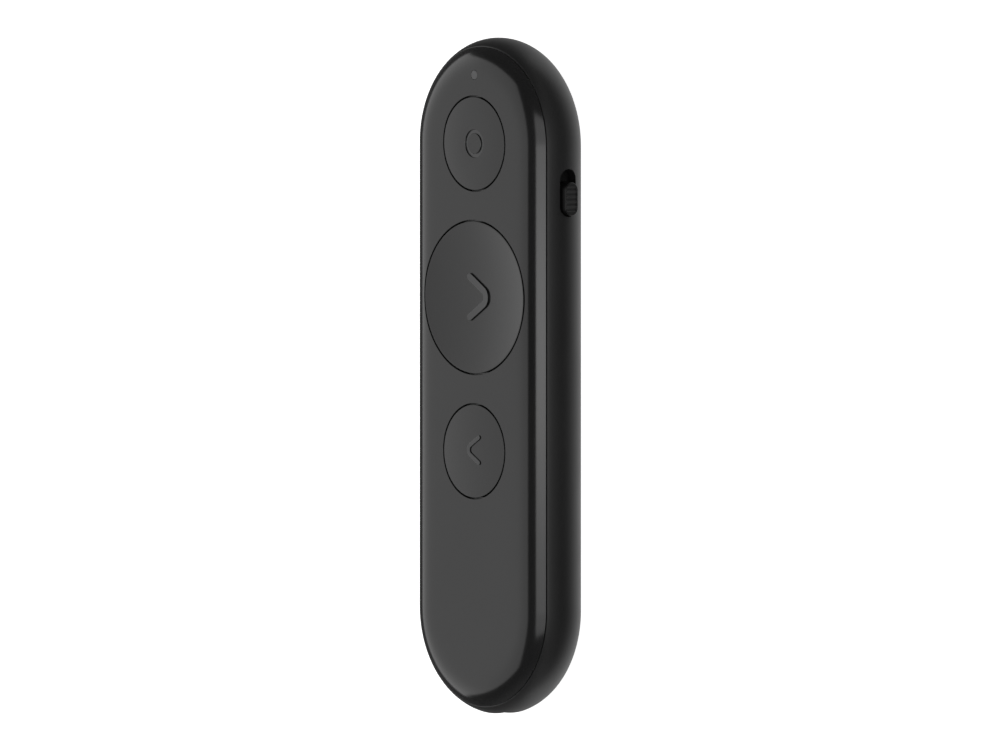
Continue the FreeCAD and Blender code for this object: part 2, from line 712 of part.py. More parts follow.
def make_light():
    pipe_z = "board_top + lamp_height + light_air"
    stem = rod("light_stem", "0", "light_y", pipe_z, "light_radius", f"body_thickness - ({pipe_z})")
    flange_z = "ceiling_z - light_flange_height"
    flange = rod("light_flange", "0", "light_y", flange_z, "light_flange_radius", "light_flange_height")
    inside = rod("inside_skirt", "0", "half_spine", flange_z, "skirt_inner - light_gap",
                 "light_flange_height")
    flange = common("light_flange_in_skirt", flange, inside)
    subpart(fuse("status_light_pipe", [stem, flange]), "status_light_pipe")
    lamp = block("status_led", "0", "light_y", "board_top", "lamp_width", "lamp_length", "lamp_height")
    subpart(lamp, "status_led")


# Inside plates

def make_button_frame():
    body = new_body("button_frame")
    outline = new_sketch(body, "frame_outline", "XY_Plane", "frame_z")
    low = "max(back_y - button_pitch / 2 - small_button_radius + frame_half_width; -half_spine)"
    high = "half_spine - frame_end_inset"
    stadium(outline, "frame_half_width", low, high)
    pad(body, outline, "frame_top - frame_z")
    holes = new_sketch(body, "frame_holes", "XY_Plane", "frame_top")
    for line in ("pointer_y", "next_y", "back_y"):
        round_hole(holes, "0", line, "frame_opening_radius", "over_" + line)
        for side, sign in (("left", "-"), ("right", "")):
            y = f"{line} - button_pitch / 2"
            radius = "stake_radius + stake_clearance"
            round_hole(holes, f"{sign}stake_x", y, radius, f"{side}_of_{line}")
    pocket(body, holes, "frame_top - frame_z")


def make_main_board():
    body = new_body("main_board")
    outline = new_sketch(body, "board_outline", "XY_Plane", "board_z")
    stadium(outline, "board_half_width", "-half_spine", "half_spine")
    pad(body, outline, "board_thickness")
    holes = new_sketch(body, "board_holes", "XY_Plane", "board_top")
    for end, end_sign in (("bottom", "-"), ("top", "")):
        for side, sign in (("left", "-"), ("right", "")):
            radius = "screw_radius + screw_board_clearance"
            round_hole(holes, f"{sign}screw_x", f"{end_sign}(screw_y)", radius, f"{end}_{side}")
    pocket(body, holes, "board_thickness")
    notch = new_sketch(body, "port_notch", "XY_Plane", "board_top")
    half_notch = "port_width / 2 + port_board_clearance"
    rectangle(notch, f"-({half_notch})", half_notch, "-body_length / 2",
              "port_rear + port_board_clearance")
    pocket(body, notch, "board_thickness")


def make_screws():
    screws = []
    for end, end_sign in (("bottom", "-"), ("top", "")):
        for side, sign in (("left", "-"), ("right", "")):
            x, y = f"{sign}screw_x", f"{end_sign}(screw_y)"
            name = f"screw_{end}_{side}"
            head = rod(name + "_head", x, y, "board_top", "screw_head_radius", "screw_head_height")
            shank = rod(name + "_shank", x, y, "board_top - screw_length", "screw_radius",
                        "screw_length + screw_head_height / 2")
            drive = rod(name + "_drive", x, y, "board_top + screw_head_height / 2",
                        "screw_radius / 2", "screw_head_height")
            screws.append(cut(name, fuse(name + "_solid", [head, shank]), drive))
    subpart(group("board_screws", screws), "board_screws")


# Power switch

def make_power_slider():
    body = new_body("power_slider")
    plate = new_sketch(body, "slider_plate", "YZ_Plane", "plate_back")
    rectangle(plate, "knob_y - plate_length / 2", "knob_y + plate_length / 2",
              "slot_z - plate_height / 2", "slot_z + plate_height / 2")
    pad(body, plate, "plate_thickness")
    knob = new_sketch(body, "knob_outline", "YZ_Plane", "plate_back + plate_thickness / 2")
    lying_stadium(knob, "knob_height / 2", "knob_length / 2", "knob_y", "slot_z")
    pad(body, knob, "knob_face - plate_back - plate_thickness / 2")

    face = amount_of("knob_face")
    solid = body.Tip
    rim = [
        f"Edge{number}" for number, edge in enumerate(solid.Shape.Edges, start=1)
        if all(abs(vertex.X - face) < 1e-6 for vertex in edge.Vertexes)
    ]
    chamfer = body.newObject("PartDesign::Chamfer", "knob_rim")
    chamfer.Base = (solid, rim)
    bind(chamfer, Size="knob_chamfer")
    doc.recompute()

    grooves = new_sketch(body, "knob_grooves", "XY_Plane", "slot_z")
    count = int(amount_of("knob_groove_count"))
    for number in range(count):
        steps = number - (count - 1) / 2
        middle = f"knob_y + knob_groove_offset + {steps} * knob_groove_pitch"
        rectangle(grooves, "knob_face - knob_groove_depth", "knob_face + 1",
                  f"{middle} - knob_groove_width / 2", f"{middle} + knob_groove_width / 2",
                  f"groove{number}")
    pocket(body, grooves, "2 * knob_height", symmetric=True)

    fork = new_sketch(body, "lever_pocket", "YZ_Plane", "plate_back")
    half_width = "lever_width / 2 + lever_fit"
    half_height = "lever_height / 2 + lever_fit"
    rectangle(fork, f"knob_y - ({half_width})", f"knob_y + ({half_width})",
              f"slot_z - ({half_height})", f"slot_z + ({half_height})")
    pocket(body, fork, "lever_engagement + 2 * lever_fit", reverse=True)


def make_slide_switch():
    case = block("slide_case_block", "slide_case_front - slide_case_depth / 2", "slot_y",
                 "board_z - slide_case_height", "slide_case_depth", "slide_case_length",
                 "slide_case_height")
    depth = "lever_hidden + 2 * lever_fit"
    window = block("slide_window", f"slide_case_front - ({depth}) / 2 + 0.5", "slot_y",
                   "slot_z - lever_height / 2 - lever_fit", f"{depth} + 1",
                   "lever_width + slider_travel + 4 * lever_fit", "lever_height + 2 * lever_fit")
    subpart(cut("slide_switch_case", case, window), "slide_switch_case")
    length = "lever_hidden + slide_case_air + lever_engagement"
    lever = block("slide_switch_lever", f"slide_case_front - lever_hidden + ({length}) / 2", "knob_y",
                  "slot_z - lever_height / 2", length, "lever_width", "lever_height")
    subpart(lever, "slide_switch_lever")


# Charging port

def make_port():
    body = new_body("usb_port_shell")
    outline = new_sketch(body, "port_outline", "XZ_Plane", "-(port_front)")
    lying_stadium(outline, "port_height / 2", "port_width / 2", "0", "port_z")
    pad(body, outline, "port_length", reverse=True)
    tabs = new_sketch(body, "port_tabs", "XY_Plane", "board_z")
    for number, sign in enumerate(("-", "")):
        middle = f"(port_rear + {sign}port_tab_spread / 2 - port_length / 3)"
        low, high = f"{middle} - port_tab_length / 2", f"{middle} + port_tab_length / 2"
        inside, outside = "port_width / 2 - port_metal", "port_width / 2 + port_tab_reach"
        rectangle(tabs, inside, outside, low, high, f"right{number}")
        rectangle(tabs, f"-({outside})", f"-({inside})", low, high, f"left{number}")
    pad(body, tabs, "port_metal", reverse=True)
    cavity = new_sketch(body, "port_cavity", "XZ_Plane", "-(port_front)")
    lying_stadium(cavity, "port_height / 2 - port_metal", "port_width / 2 - port_metal", "0", "port_z")
    pocket(body, cavity, "port_length")

    tongue = new_body("usb_port_tongue")
    back = new_sketch(tongue, "port_block", "XZ_Plane", "-(port_rear - port_back)")
    lying_stadium(back, "port_height / 2 - port_metal", "port_width / 2 - port_metal", "0", "port_z")
    pad(tongue, back, "port_back", reverse=True)
    blade = new_sketch(tongue, "tongue_blade", "XZ_Plane", "-(port_front + tongue_inset)")
    lying_stadium(blade, "tongue_thickness / 2", "tongue_width / 2", "0", "port_z")
    pad(tongue, blade, "port_length - port_back / 2 - tongue_inset", reverse=True)

    contacts = []
    count = 12
    for number in range(count):
        x = f"{number - (count - 1) / 2} * contact_pitch"
        y = "port_front + tongue_inset + 0.4 + contact_length / 2"
        for face, z in (("top", "port_z + tongue_thickness / 2"),
                        ("bottom", "port_z - tongue_thickness / 2 - contact_thickness")):
            contacts.append(block(f"contact_{face}_{number}", x, y, z, "contact_width",
                                  "contact_length", "contact_thickness"))
    subpart(group("usb_port_contacts", contacts), "usb_port_contacts")


# Battery

def make_battery():
    body = new_body("battery_cell")
    outline = new_sketch(body, "cell_outline", "XY_Plane", "battery_low_z")
    rectangle(outline, "-battery_width / 2", "battery_width / 2", "battery_low_y", "battery_high_y")
    cell = pad(body, outline, "battery_high_z - battery_low_z")
    edges = [
        f"Edge{number}" for number, edge in enumerate(cell.Shape.Edges, start=1)
        if abs(edge.Vertexes[0].Y - edge.Vertexes[-1].Y) > 1
    ]
    rounding = body.newObject("PartDesign::Fillet", "cell_rounding")
    rounding.Base = (cell, edges)
    bind(rounding, Radius="battery_round")
    doc.recompute()

    middle = "battery_low_y + battery_length / 2"
    tape = block("battery_tape", "0", middle, "shell_wall", "battery_width - 2 * tape_margin",
                 "battery_length - 2 * tape_margin", "tape_thickness")
    subpart(tape, "battery_tape")
    guard = block("cell_protection_board", "0", "battery_high_y + protection_length / 2",
                  "protection_z", "protection_width", "protection_length", "protection_height")
    subpart(guard, "cell_protection_board")
    connector = block("battery_connector", "0", "connector_y + connector_length / 2",
                      "board_z - connector_height", "connector_width", "connector_length",
                      "connector_height")
    subpart(connector, "battery_connector")


def make_battery_leads():
    """Two wires that step up from the cell's protection board to the connector under the main board."""
    radius = amount_of("lead_radius")
    bend = amount_of("lead_bend")
    turn = math.radians(amount_of("lead_turn"))
    straight = amount_of("lead_straight")
    low = amount_of("lead_low_z")
    high = amount_of("lead_high_z")
    start_y = amount_of("lead_start_y")
    leads = []
    for side in (-1, 1):
        x = side * amount_of("lead_spread") / 2

        def point(y, z):
            return FreeCAD.Vector(x, y, z)

        first_y = start_y + straight
        half_y = first_y + bend * math.sin(turn)
        last_y = half_y + bend * math.sin(turn)
        half_turn = turn / 2
        rise = bend * (1 - math.cos(half_turn))
        reach = bend * math.sin(half_turn)
        runs = [
            Part.LineSegment(point(start_y, low), point(first_y, low)),
            Part.Arc(point(first_y, low), point(first_y + reach, low + rise),
                     point(half_y, (low + high) / 2)),
            Part.Arc(point(half_y, (low + high) / 2), point(last_y - reach, high - rise),
                     point(last_y, high)),
            Part.LineSegment(point(last_y, high), point(last_y + straight, high)),
        ]
        path = Part.Wire([run.toShape() for run in runs])
        end = Part.Wire([Part.makeCircle(radius, point(start_y, low), FreeCAD.Vector(0, 1, 0))])
        leads.append(path.makePipeShell([end], True, False))
        expected = path.Length * math.pi * radius ** 2
        if abs(leads[-1].Volume - expected) > 0.02 * expected:
            raise ValueError("a battery lead has lost its section")
    wires = doc.addObject("Part::Feature", "battery_leads")
    wires.Shape = Part.makeCompound(leads)
    subpart(wires, "battery_leads")


# Small parts on the board

BOARD_PARTS = {
    # name: x, y, width, length, height
    "radio_chip": ("0", "back_y - button_pitch / 2", "5", "5", "0.8"),
    "crystal": ("5.2", "back_y - button_pitch / 2", "2", "2.5", "0.5"),
    "motion_sensor": ("0", "pointer_y - button_pitch / 2", "3", "3", "0.8"),
    "charge_chip": ("-4", "-screw_y + 6", "3", "3", "0.75"),
    "chip_antenna": ("0", "light_y - 3.4", "7", "2", "0.8"),
}


def make_board_parts():
    for name, (x, y, width, length, height) in BOARD_PARTS.items():
        subpart(block(name, x, y, "board_top", width, length, height), name)
    rows = ["back_y - button_pitch / 2", "pointer_y - button_pitch / 2", "next_y - button_pitch / 2"]
    capacitors = []
    for number, line in enumerate(rows):
        for step in range(3):
            y = f"{line} + {step - 1} * capacitor_pitch"
            capacitors.append(block(f"capacitor_{number}_{step}", "-capacitor_x", y, "board_top",
                                    "capacitor_width", "capacitor_length", "capacitor_height"))
    subpart(group("board_capacitors", capacitors), "board_capacitors")


def check_document():
    for thing in doc.Objects:
        bad = [state for state in thing.State if state in ("Invalid", "Error")]
        if bad:
            raise ValueError(f"{thing.Name} is {bad}")
    for label, thing in SUBPARTS.items():
        if thing.Shape.isNull() or not thing.Shape.isValid():
            raise ValueError(f"{label} has no valid shape")
        if not thing.Shape.Solids:
            raise ValueError(f"{label} holds no solid")


doc.recompute()
make_front_cover()
make_rear_cover()
make_pointer_button()
make_next_button()
make_back_button()
for switch_name, switch_y in (("pointer", "pointer_y"), ("next", "next_y"), ("back", "back_y")):
    make_push_switch(switch_name, switch_y)
make_light()
make_button_frame()
make_main_board()
make_screws()
make_power_slider()
make_slide_switch()
make_port()
make_battery()
make_battery_leads()
make_board_parts()
doc.recompute()
check_document()

os.makedirs("parts", exist_ok=True)
for label, thing in SUBPARTS.items():
    thing.Shape.exportStep(os.path.join("parts", label + ".step"))
    box = thing.Shape.BoundBox
    print(f"{label}: {len(thing.Shape.Solids)} solid, {box.XLength:.2f} x {box.YLength:.2f} x {box.ZLength:.2f}")
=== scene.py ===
import json
import math

import bmesh
import bpy
from mathutils import Matrix, Vector


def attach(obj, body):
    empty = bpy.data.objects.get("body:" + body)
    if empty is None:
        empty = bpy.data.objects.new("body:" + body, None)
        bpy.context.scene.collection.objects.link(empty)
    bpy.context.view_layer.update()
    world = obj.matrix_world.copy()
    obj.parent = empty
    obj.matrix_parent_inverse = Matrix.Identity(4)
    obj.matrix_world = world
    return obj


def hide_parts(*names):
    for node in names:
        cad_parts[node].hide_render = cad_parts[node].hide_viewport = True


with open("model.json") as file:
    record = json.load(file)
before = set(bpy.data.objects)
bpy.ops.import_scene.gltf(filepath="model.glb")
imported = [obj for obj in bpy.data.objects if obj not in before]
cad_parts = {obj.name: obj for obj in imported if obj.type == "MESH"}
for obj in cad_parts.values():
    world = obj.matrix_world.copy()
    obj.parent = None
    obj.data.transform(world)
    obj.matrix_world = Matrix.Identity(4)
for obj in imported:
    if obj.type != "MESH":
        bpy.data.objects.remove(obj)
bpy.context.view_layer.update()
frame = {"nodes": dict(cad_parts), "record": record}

# Sizes in millimetres. The outside is read off the photograph, and what seats an inner piece follows
# the CAD model, whose housing is 0.3 mm shorter and 0.2 mm narrower.

MM = 0.001
BODY_LENGTH = 112.5
BODY_WIDTH = 35.2
BODY_THICKNESS = 11.4
SIDE_RADIUS = BODY_THICKNESS / 2
FLAT_HALF_WIDTH = BODY_WIDTH / 2 - SIDE_RADIUS
HALF_SPINE = (BODY_LENGTH - BODY_WIDTH) / 2
PARTING_DROP = 1.955
PARTING_GAP = 0.135
PARTING_Z = BODY_THICKNESS - PARTING_DROP
RIM_Z = PARTING_Z - PARTING_GAP
COVER_WALL = 1.3
CEILING_Z = BODY_THICKNESS - COVER_WALL
SHELL_WALL = 1.5
INNER_RADIUS = SIDE_RADIUS - SHELL_WALL
MOUTH_RADIUS = FLAT_HALF_WIDTH + math.sqrt(INNER_RADIUS ** 2 - (RIM_Z - SIDE_RADIUS) ** 2)
SKIRT_CLEARANCE = 0.36
SKIRT_WALL = 0.8
SKIRT_DEPTH = 1.3
SKIRT_OUTER = MOUTH_RADIUS - SKIRT_CLEARANCE
SKIRT_INNER = SKIRT_OUTER - SKIRT_WALL
SKIRT_Z = PARTING_Z - SKIRT_DEPTH
SMALL_RADIUS = 7.71
LARGE_RADIUS = 12.61
BUTTON_GAP = 0.29
BUTTON_PITCH = 25.57
POINTER_Y = HALF_SPINE + 0.14
NEXT_Y = POINTER_Y - BUTTON_PITCH
BACK_Y = NEXT_Y - BUTTON_PITCH
CAP_DEPTH = 2.2
CAP_Z = BODY_THICKNESS - CAP_DEPTH
FLANGE_WIDTH = 0.9
PIP_RADIUS = 1.2
PIP_Z = CAP_Z - 0.3
DISH_DEPTH = 1.1
DISH_RADIUS = (LARGE_RADIUS ** 2 + DISH_DEPTH ** 2) / (2 * DISH_DEPTH)
SLOT_Y = HALF_SPINE - 7.64
SLOT_Z = 5.7
SLOT_LENGTH = 7.95
SLOT_HEIGHT = 3.4
SWITCH_TRAVEL = 2.0
KNOB_Y = SLOT_Y - SWITCH_TRAVEL / 2
KNOB_FACE = BODY_WIDTH / 2 + 0.83
LIGHT_Y = 50.2
LIGHT_HOLE_RADIUS = 0.8
SCREW_X = 8.0
SCREW_Y = 46.0
POST_RADIUS = 1.9
BORE_RADIUS = 0.85
POST_FOOT_Z = 1.0
BORE_FLOOR_Z = 2.6
BOARD_Z = 6.4
REST_POST_X = 10.6
REST_POST_Y = 9.0
STAKE_X = 8.8
STAKE_RADIUS = 0.65
STAKE_FOOT_Z = 7.85
HOOK_REACH = 0.7
HOOK_HEIGHT = 0.6
HOOK_LENGTH = 5.0
HOOK_SPREAD = 56.0
PORT_FRONT = -54.55
PORT_SEAT_DEPTH = 5.0
PORT_SEAT_HALF_WIDTH = 4.62
PORT_SEAT_HALF_HEIGHT = 1.73
PORT_MOUTH_HALF_WIDTH = 4.5
PORT_MOUTH_HALF_HEIGHT = 1.525
FRONT_EDGE_ROUND = 0.03
REAR_EDGE_ROUND = 0.08
GAP_ROUND = 0.04
EASE = math.radians(8)
ICON_EDGE = 0.03


# Node tools

def new_group(name, inputs, outputs):
    """A shader node group with the named number or colour sockets."""
    group = bpy.data.node_groups.new(name, "ShaderNodeTree")
    for label, kind, start in inputs:
        socket = group.interface.new_socket(label, in_out="INPUT", socket_type="NodeSocket" + kind)
        socket.default_value = start
    for label, kind in outputs:
        group.interface.new_socket(label, in_out="OUTPUT", socket_type="NodeSocket" + kind)
    return group


def add(tree, kind, **settings):
    node = tree.nodes.new("ShaderNode" + kind)
    for name, value in settings.items():
        setattr(node, name, value)
    return node


def noise(tree, vector, scale, detail):
    node = add(tree, "TexNoise")
    node.inputs["Detail"].default_value = detail
    tree.links.new(vector, node.inputs["Vector"])
    if isinstance(scale, (int, float)):
        node.inputs["Scale"].default_value = scale
    else:
        tree.links.new(scale, node.inputs["Scale"])
    return node.outputs["Fac"]


def maths(tree, operation, first, second=None, clamp=False):
    node = add(tree, "Math", operation=operation, use_clamp=clamp)
    for number, value in enumerate((first, second)):
        if value is None:
            continue
        if isinstance(value, (int, float)):
            node.inputs[number].default_value = value
        else:
            tree.links.new(value, node.inputs[number])
    return node.outputs[0]


def remap(tree, value, low, high, to_low, to_high):
    node = add(tree, "MapRange", interpolation_type="SMOOTHSTEP")
    tree.links.new(value, node.inputs["Value"])
    names = ("From Min", "From Max", "To Min", "To Max")
    for name, number in zip(names, (low, high, to_low, to_high)):
        node.inputs[name].default_value = number
    return node.outputs["Result"]


def add_ends(group):
    return group.nodes.new("NodeGroupInput"), group.nodes.new("NodeGroupOutput")


def build_grain():
    """Fine texture of a spark-eroded mould: small soft bumps, with a finer sand over them."""
    inputs = [("Grains per mm", "Float", 6.0), ("Sand", "Float", 0.4)]
    group = new_group("moulded_grain", inputs, [("Height", "Float"), ("Patch", "Float")])
    start, end = add_ends(group)
    place = add(group, "TexCoord").outputs["Object"]
    per_metre = maths(group, "MULTIPLY", start.outputs["Grains per mm"], 1000.0)
    bumps = noise(group, place, per_metre, detail=1.0)
    finer = maths(group, "MULTIPLY", per_metre, 2.7)
    sand = noise(group, place, finer, detail=2.0)
    sand = maths(group, "MULTIPLY", sand, start.outputs["Sand"])
    group.links.new(maths(group, "ADD", bumps, sand), end.inputs["Height"])
    group.links.new(noise(group, place, 55.0, detail=2.0), end.inputs["Patch"])
    return group


def build_handling():
    """Where fingers rub: broad soft smudges and a few fine hair scratches."""
    inputs = [("Smudge", "Float", 0.5), ("Scratch", "Float", 0.3)]
    group = new_group("handling_marks", inputs, [("Mask", "Float")])
    start, end = add_ends(group)
    place = add(group, "TexCoord").outputs["Object"]
    broad = remap(group, noise(group, place, 90.0, detail=4.0), 0.42, 0.68, 0.0, 1.0)
    broad = maths(group, "MULTIPLY", broad, start.outputs["Smudge"])
    stretch = add(group, "Mapping")
    stretch.inputs["Rotation"].default_value = (0.2, 0.1, 0.5)
    stretch.inputs["Scale"].default_value = (4000.0, 130.0, 900.0)
    group.links.new(place, stretch.inputs["Vector"])
    hairs = noise(group, stretch.outputs["Vector"], 1.0, detail=0.0)
    hairs = remap(group, hairs, 0.74, 0.80, 0.0, 1.0)
    hairs = maths(group, "MULTIPLY", hairs, start.outputs["Scratch"])
    group.links.new(maths(group, "MAXIMUM", broad, hairs), end.inputs["Mask"])
    return group


GRAIN = build_grain()
HANDLING = build_handling()


def use_group(tree, group, **values):
    node = add(tree, "Group", node_tree=group)
    for name, value in values.items():
        node.inputs[name.replace("_", " ")].default_value = value
    return node


def mix_colour(tree, factor, first, second):
    node = add(tree, "Mix", data_type="RGBA")
    tree.links.new(factor, node.inputs["Factor"])
    node.inputs["A"].default_value = (*first, 1.0)
    node.inputs["B"].default_value = (*second, 1.0)
    return node.outputs["Result"]


def plastic(name, colour, roughness, grain_depth, grains=6.0, spread=0.04, smudge=0.5, scratch=0.3,
            specular=0.5, tint=0.12):
    """A moulded plastic: base colour, mean roughness, grain depth in mm, grains per mm, and handling."""
    material = bpy.data.materials.new(name)
    material.use_nodes = True
    tree = material.node_tree
    shader = tree.nodes["Principled BSDF"]
    shader.inputs["Specular IOR Level"].default_value = specular
    grain = use_group(tree, GRAIN, Grains_per_mm=grains, Sand=0.35)
    marks = use_group(tree, HANDLING, Smudge=smudge, Scratch=scratch)
    dark = tuple(channel * (1 - tint) for channel in colour)
    light = tuple(channel * (1 + tint) for channel in colour)
    patch = remap(tree, grain.outputs["Patch"], 0.3, 0.7, 0.0, 1.0)
    tree.links.new(mix_colour(tree, patch, dark, light), shader.inputs["Base Color"])
    rough = remap(tree, marks.outputs["Mask"], 0.0, 1.0, roughness - spread / 2, roughness + spread)
    tree.links.new(rough, shader.inputs["Roughness"])
    if grain_depth > 0:
        bump = add(tree, "Bump")
        bump.inputs["Strength"].default_value = 1.0
        bump.inputs["Distance"].default_value = grain_depth * MM
        tree.links.new(grain.outputs["Height"], bump.inputs["Height"])
        tree.links.new(bump.outputs["Normal"], shader.inputs["Normal"])
    return material


def metal(name, colour, roughness, grains=3.0):
    """Plated sheet: fine rolled streaks in the roughness and slight tarnish in the colour."""
    material = bpy.data.materials.new(name)
    material.use_nodes = True
    tree = material.node_tree
    shader = tree.nodes["Principled BSDF"]
    shader.inputs["Metallic"].default_value = 1.0
    grain = use_group(tree, GRAIN, Grains_per_mm=grains, Sand=0.6)
    marks = use_group(tree, HANDLING, Smudge=0.8, Scratch=0.6)
    worn = tuple(channel * 0.8 for channel in colour)
    tree.links.new(mix_colour(tree, grain.outputs["Patch"], worn, colour), shader.inputs["Base Color"])
    rough = remap(tree, marks.outputs["Mask"], 0.0, 1.0, roughness * 0.8, roughness * 1.5)
    tree.links.new(rough, shader.inputs["Roughness"])
    bump = add(tree, "Bump")
    bump.inputs["Distance"].default_value = 0.004 * MM
    tree.links.new(grain.outputs["Height"], bump.inputs["Height"])
    tree.links.new(bump.outputs["Normal"], shader.inputs["Normal"])
    return material


COVER_BLACK = plastic("cover_black", (0.0095, 0.0095, 0.0096), 0.17, 0.0, spread=0.03, smudge=0.4)
SHELL_SATIN = plastic("shell_satin", (0.006, 0.006, 0.0062), 0.40, 0.0020, spread=0.05)
ICON_GREY = plastic("icon_grey", (0.044, 0.044, 0.045), 0.22, 0.0, spread=0.02, smudge=0.1, scratch=0.0)
KNOB_MATT = plastic("knob_matt", (0.003, 0.003, 0.003), 0.38, 0.001, grains=8.0, specular=0.3)
INNER_BLACK = plastic("inner_black", (0.006, 0.006, 0.006), 0.6, 0.003)
LENS_GREY = plastic("lens_grey", (0.095, 0.095, 0.097), 0.18, 0.0, spread=0.02)
SOLDER_MASK = plastic("solder_mask", (0.012, 0.09, 0.045), 0.32, 0.002, grains=2.0, tint=0.2)
CHIP_EPOXY = plastic("chip_epoxy", (0.02, 0.02, 0.021), 0.5, 0.004)
CERAMIC = plastic("fired_ceramic", (0.62, 0.6, 0.55), 0.45, 0.003, tint=0.06)
CELL_FOIL = metal("cell_foil", (0.72, 0.72, 0.74), 0.38, grains=1.5)
FOAM = plastic("foam_tape", (0.12, 0.12, 0.13), 0.9, 0.02, grains=2.0)
WIRE = plastic("wire_jacket", (0.42, 0.03, 0.025), 0.4, 0.002)
PLATED = metal("plated_steel", (0.62, 0.62, 0.63), 0.28)
GOLD = metal("gold_plating", (0.83, 0.62, 0.28), 0.22)

SLOT_MATERIALS = {
    "satin_black": COVER_BLACK, "shell_black": SHELL_SATIN, "button_black": COVER_BLACK,
    "knob_black": KNOB_MATT, "light_grey": LENS_GREY, "inner_plastic": INNER_BLACK,
    "board_green": SOLDER_MASK, "chip_black": CHIP_EPOXY, "plated_steel": PLATED,
    "gold_contact": GOLD, "cell_foil": CELL_FOIL, "foam_grey": FOAM, "wire_red": WIRE,
    "ceramic_white": CERAMIC,
}
NODE_SLOTS = {entry["node"]: entry["material_slot"] for entry in frame["record"]["subparts"]}
for node_name, node_object in frame["nodes"].items():
    node_object.data.materials.clear()
    node_object.data.materials.append(SLOT_MATERIALS[NODE_SLOTS[node_name]])


# Mesh tools

def arc(centre_r, centre_z, radius, from_tilt, to_tilt, steps):
    """Points (r, z) of an arc. Tilt is measured from straight up, towards the outside."""
    points = []
    for step in range(steps + 1):
        tilt = math.radians(from_tilt + (to_tilt - from_tilt) * step / steps)
        points.append((centre_r + radius * math.sin(tilt), centre_z + radius * math.cos(tilt)))
    return points


def rounded(points, corners, radius, steps=4):
    """Replace the numbered corners of an open line of (r, z) points by small arcs."""
    result = []
    for number, point in enumerate(points):
        if number not in corners:
            result.append(point)
            continue
        here = Vector(point)
        back = (Vector(points[number - 1]) - here).normalized()
        ahead = (Vector(points[number + 1]) - here).normalized()
        half_angle = math.acos(max(-1.0, min(1.0, back.dot(ahead)))) / 2
        reach = radius / math.tan(half_angle)
        centre = here + (back + ahead).normalized() * (radius / math.sin(half_angle))
        first, last = here + back * reach, here + ahead * reach
        for step in range(steps + 1):
            chord = first.lerp(last, step / steps)
            spot = centre + (chord - centre).normalized() * radius
            result.append((spot.x, spot.y))
    return result


def stadium_path(turn_steps=60, straight_steps=24):
    """Stations round the housing: (centre y, direction x, direction y)."""
    stations = []
    for step in range(straight_steps):
        stations.append((-HALF_SPINE + 2 * HALF_SPINE * step / straight_steps, 1.0, 0.0))
    for step in range(turn_steps):
        angle = math.pi * step / turn_steps
        stations.append((HALF_SPINE, math.cos(angle), math.sin(angle)))
    for step in range(straight_steps):
        stations.append((HALF_SPINE - 2 * HALF_SPINE * step / straight_steps, -1.0, 0.0))
    for step in range(turn_steps):
        angle = math.pi + math.pi * step / turn_steps
        stations.append((-HALF_SPINE, math.cos(angle), math.sin(angle)))
    return stations


def skin(bm, rings):
    """Join rings of vertices by faces; each ring runs once round."""
    for first, second in zip(rings, rings[1:]):
        count = len(first)
        for i in range(count):
            j = (i + 1) % count
            corners = [first[i], first[j], second[j], second[i]]
            corners = [v for n, v in enumerate(corners) if v not in corners[:n]]
            if len(corners) > 2:
                bm.faces.new(corners)


def finish_mesh(bm, name, sharp_angle=35.0):
    bmesh.ops.recalc_face_normals(bm, faces=bm.faces)
    mesh = bpy.data.meshes.new(name)
    bm.to_mesh(mesh)
    bm.free()
    for polygon in mesh.polygons:
        polygon.use_smooth = True
    mesh.set_sharp_from_angle(angle=math.radians(sharp_angle))
    piece = bpy.data.objects.new(name, mesh)
    bpy.context.scene.collection.objects.link(piece)
    return piece


def sweep_housing(name, section):
    """Carry a section, which starts and ends on the spine, round the housing."""
    bm = bmesh.new()
    stations = stadium_path()
    rings = []
    for r, z in section:
        ring = []
        for centre_y, across, along in stations:
            ring.append(bm.verts.new((r * across * MM, (centre_y + r * along) * MM, z * MM)))
        rings.append(ring)
    skin(bm, rings)
    bmesh.ops.remove_doubles(bm, verts=bm.verts, dist=1e-7)
    return finish_mesh(bm, name)


def lathe(bm, profile, centre_y, steps=160):
    """Turn a profile of (r, z) points, which starts and ends on the axis, about an upright axis."""
    rings = []
    for r, z in profile:
        if r == 0:
            vertex = bm.verts.new((0, centre_y * MM, z * MM))
            rings.append([vertex] * steps)
            continue
        ring = []
        for step in range(steps):
            angle = 2 * math.pi * step / steps
            ring.append(bm.verts.new((
                r * math.cos(angle) * MM, (centre_y + r * math.sin(angle)) * MM, z * MM)))
        rings.append(ring)
    skin(bm, rings)


def box_mesh(bm, low, high):
    """A closed box between two corners in millimetres."""
    size = Vector(high) - Vector(low)
    middle = (Vector(high) + Vector(low)) / 2
    matrix = Matrix.Translation(middle * MM) @ Matrix.Diagonal((*(size * MM), 1.0))
    bmesh.ops.create_cube(bm, size=1.0, matrix=matrix)


def rod_mesh(bm, x, y, low_z, high_z, radius, segments=32):
    matrix = Matrix.Translation(Vector((x, y, (low_z + high_z) / 2)) * MM)
    bmesh.ops.create_cone(
        bm, cap_ends=True, segments=segments, radius1=radius * MM, radius2=radius * MM,
        depth=(high_z - low_z) * MM, matrix=matrix)


